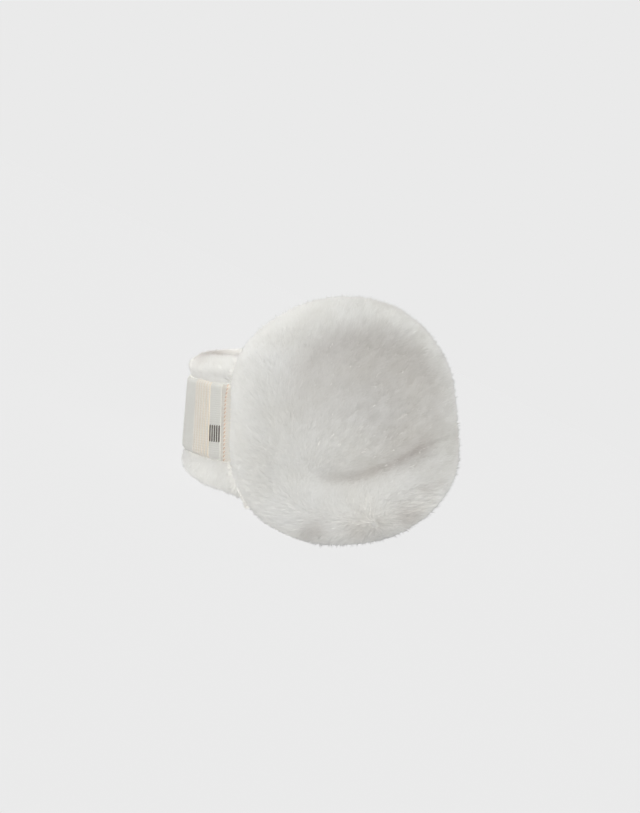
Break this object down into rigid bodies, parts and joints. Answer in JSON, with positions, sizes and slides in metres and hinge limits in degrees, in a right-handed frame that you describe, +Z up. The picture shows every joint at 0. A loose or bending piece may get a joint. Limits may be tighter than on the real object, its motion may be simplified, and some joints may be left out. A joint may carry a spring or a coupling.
{
  "type": "behind-the-head plush ear warmer with knit insert band",
  "caption": "Plush ear warmer worn behind the head: round fur ear cups with hollows on a curved fur band, knit panels on its outside.",
  "frame": {"origin": "on the table under the middle of the whole", "axes": "+X towards the wearer's front, +Y towards the left ear cup, +Z up from the table; as it stands, the worn upright leans back 25.4 degrees about Y"},
  "size_m": [0.1402, 0.159, 0.1192],
  "materials": {
    "fur": "short dense white plush, matte",
    "smooth_knit": "fine off-white jersey",
    "rib_knit": "cream rib knit with tan grooves",
    "binding": "cream knit tape with tan stitching"
  },
  "bodies": {
    "root": {"right_ear_cup": "fur", "left_ear_cup": "fur", "band_fur": "fur", "back_panel": "smooth_knit", "right_rib_panel": "rib_knit", "left_rib_panel": "rib_knit", "right_end_panel": "smooth_knit", "left_end_panel": "smooth_knit", "right_edge_binding": "binding", "left_edge_binding": "binding"}
  },
  "joints": []
}
